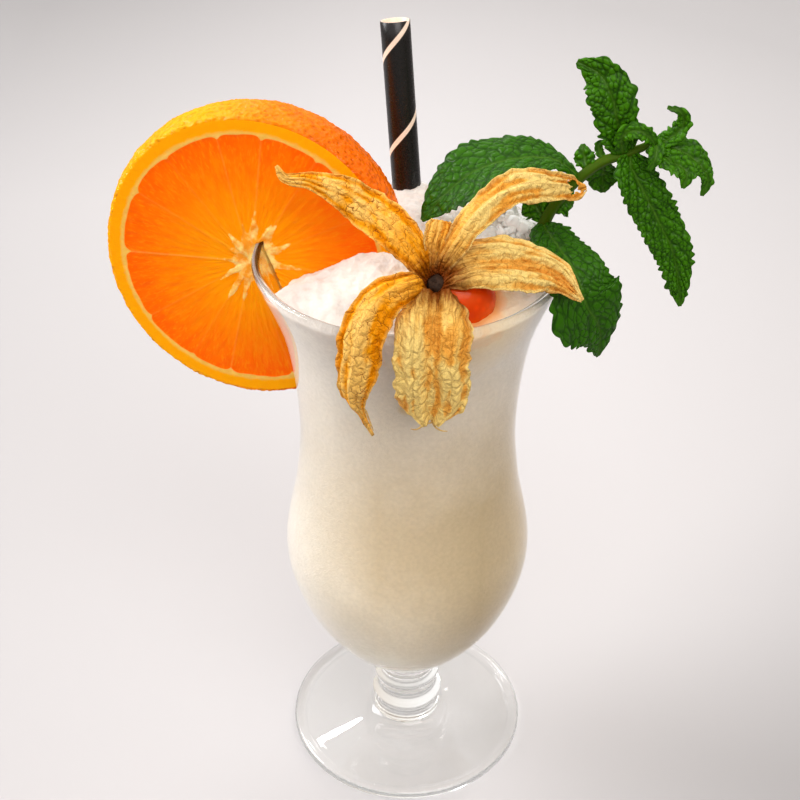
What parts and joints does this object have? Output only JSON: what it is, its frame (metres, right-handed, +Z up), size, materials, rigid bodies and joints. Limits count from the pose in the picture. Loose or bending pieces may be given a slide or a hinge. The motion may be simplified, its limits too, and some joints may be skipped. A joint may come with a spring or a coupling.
{
  "type": "milkshake",
  "caption": "Pale frozen milkshake in a clear footed hurricane glass, with an orange wheel on the rim, a husked berry, mint and a dark paper straw.",
  "frame": {"origin": "centre of the glass's flat foot, where it stands", "axes": "+Z up along the glass's axis, -Y towards the viewer, so that the orange wheel is on the -X side of the rim and the mint on the +X side"},
  "size_m": [0.1589, 0.0871, 0.2233],
  "materials": {
    "clear_glass": "clear and polished",
    "frozen_shake": "frosty, slightly wet",
    "orange_fruit": "juicy cut flesh and waxy peel",
    "black_paper": "matt, with a thin cream stripe round it",
    "dry_husk": "dry and veined",
    "berry_skin": "smooth and shiny",
    "mint_leaf": "wrinkled fresh leaf"
  },
  "bodies": {
    "root": {"glass": "clear_glass", "milkshake": "frozen_shake", "orange_slice": "orange_fruit", "straw": "black_paper", "physalis_husk": "dry_husk", "physalis_berry": "berry_skin", "mint_sprig": "mint_leaf"}
  },
  "joints": []
}
